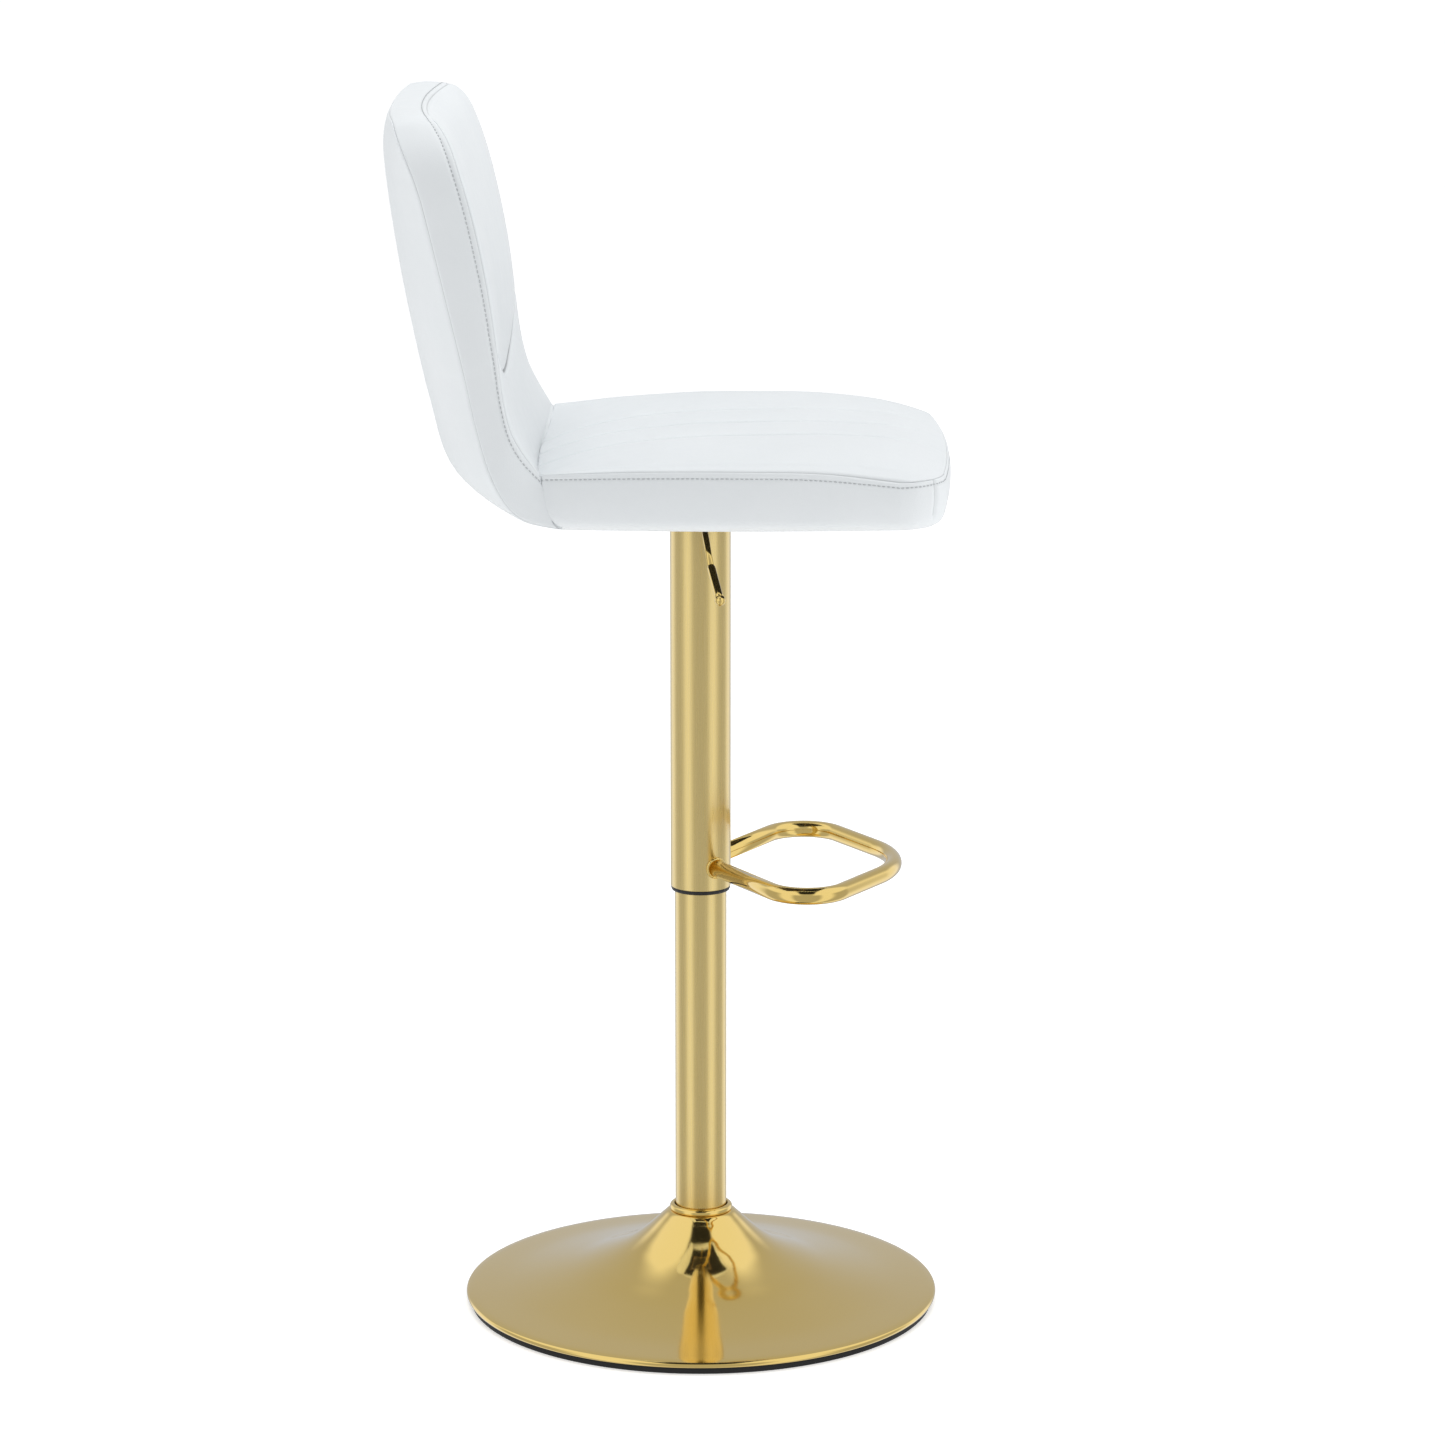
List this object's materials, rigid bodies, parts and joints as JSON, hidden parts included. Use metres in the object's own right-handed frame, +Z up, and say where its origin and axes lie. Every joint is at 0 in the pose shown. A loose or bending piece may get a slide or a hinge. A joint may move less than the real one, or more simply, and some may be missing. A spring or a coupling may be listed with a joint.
{
  "type": "bar stool with footrest",
  "caption": "Swivelling gas-lift bar stool with an upholstered seat and curved back, a loop footrest on the column, a side lever and a wide trumpet base.",
  "frame": {"origin": "on the floor, below the middle of the stool's bounding box; the column's axis is at x 0, y -0.032 m", "axes": "+Z up from the floor, -Y towards the front of the seat, +X towards the sitter's left"},
  "size_m": [0.45, 0.5222, 1.1561],
  "materials": {
    "polished_gold": "mirror-polished gold plating on steel",
    "satin_gold": "satin gold plating on steel tube, brushed along its length",
    "white_leather": "white faux leather with a fine pebble grain, sewn over foam",
    "black_rubber": "matt",
    "black_plastic": "moulded, slight sheen",
    "nylon": "natural moulded",
    "bright_steel": "ground bright",
    "dark_steel": "black powder coat",
    "zinc_steel": "zinc plated",
    "plywood": "raw plywood",
    "black_cloth": "non-woven dust cloth"
  },
  "bodies": {
    "base": {"floor_ring": "black_rubber", "base_weight": "dark_steel", "base_cover": "polished_gold", "base_collar": "polished_gold", "column_tube": "satin_gold", "column_flange": "dark_steel", "flange_bolt_1": "dark_steel", "flange_bolt_2": "dark_steel", "flange_bolt_3": "dark_steel", "guide_sleeve": "nylon", "bearing_race_lower": "bright_steel", "bearing_ball_cage": "bright_steel"},
    "gas_rod": {"bearing_race_upper": "bright_steel", "piston_rod": "bright_steel", "piston": "black_plastic", "rod_clip": "bright_steel"},
    "seat_assembly": {"gas_cylinder": "dark_steel", "cover_tube": "satin_gold", "cover_cap": "black_plastic", "guide_ring": "black_plastic", "footrest_tube": "polished_gold", "footrest_weld_left": "polished_gold", "footrest_weld_right": "polished_gold", "mechanism_housing": "dark_steel", "seat_plate": "dark_steel", "plate_bolt_1": "zinc_steel", "plate_bolt_2": "zinc_steel", "plate_bolt_3": "zinc_steel", "plate_bolt_4": "zinc_steel", "tee_nut_1": "zinc_steel", "tee_nut_2": "zinc_steel", "tee_nut_3": "zinc_steel", "tee_nut_4": "zinc_steel", "seat_board": "plywood", "dust_cover": "black_cloth", "seat_cushion": "white_leather", "backrest_board": "plywood", "backrest_front_pad": "white_leather", "backrest_rear_pad": "white_leather", "back_bracket_left": "dark_steel", "back_bracket_right": "dark_steel", "bracket_screw_left_1": "zinc_steel", "bracket_screw_left_2": "zinc_steel", "bracket_screw_left_3": "zinc_steel", "bracket_screw_left_4": "zinc_steel", "bracket_screw_right_1": "zinc_steel", "bracket_screw_right_2": "zinc_steel", "bracket_screw_right_3": "zinc_steel", "bracket_screw_right_4": "zinc_steel", "lever_pivot_pin": "bright_steel"},
    "lever": {"lever_crank": "bright_steel", "lever_rod": "polished_gold", "lever_grip": "polished_gold", "lever_end_cap": "polished_gold"},
    "valve_button": {"valve_button": "bright_steel"}
  },
  "joints": [
    {"name": "seat_swivel", "type": "hinge", "parent": "base", "child": "gas_rod", "pos_m": [0, -0.032, 0.02], "axis": [0, 0, 1], "continuous": true},
    {"name": "seat_lift", "type": "slide", "parent": "gas_rod", "child": "seat_assembly", "axis": [0, 0, 1], "range_m": [-0.21, 0]},
    {"name": "lever_pull", "type": "hinge", "parent": "seat_assembly", "child": "lever", "pos_m": [-0.034, -0.032, 0.7755], "axis": [0, 1, 0], "range_deg": [0, 6], "stiffness_Nm_per_rad": 2, "springref_deg": -2.86},
    {"name": "button_press", "type": "slide", "parent": "seat_assembly", "child": "valve_button", "axis": [0, 0, 1], "range_m": [-0.0039, 0]}
  ],
  "couplings": [
    {"joint": "button_press", "follows": "lever_pull", "m_per_rad": -0.037}
  ]
}
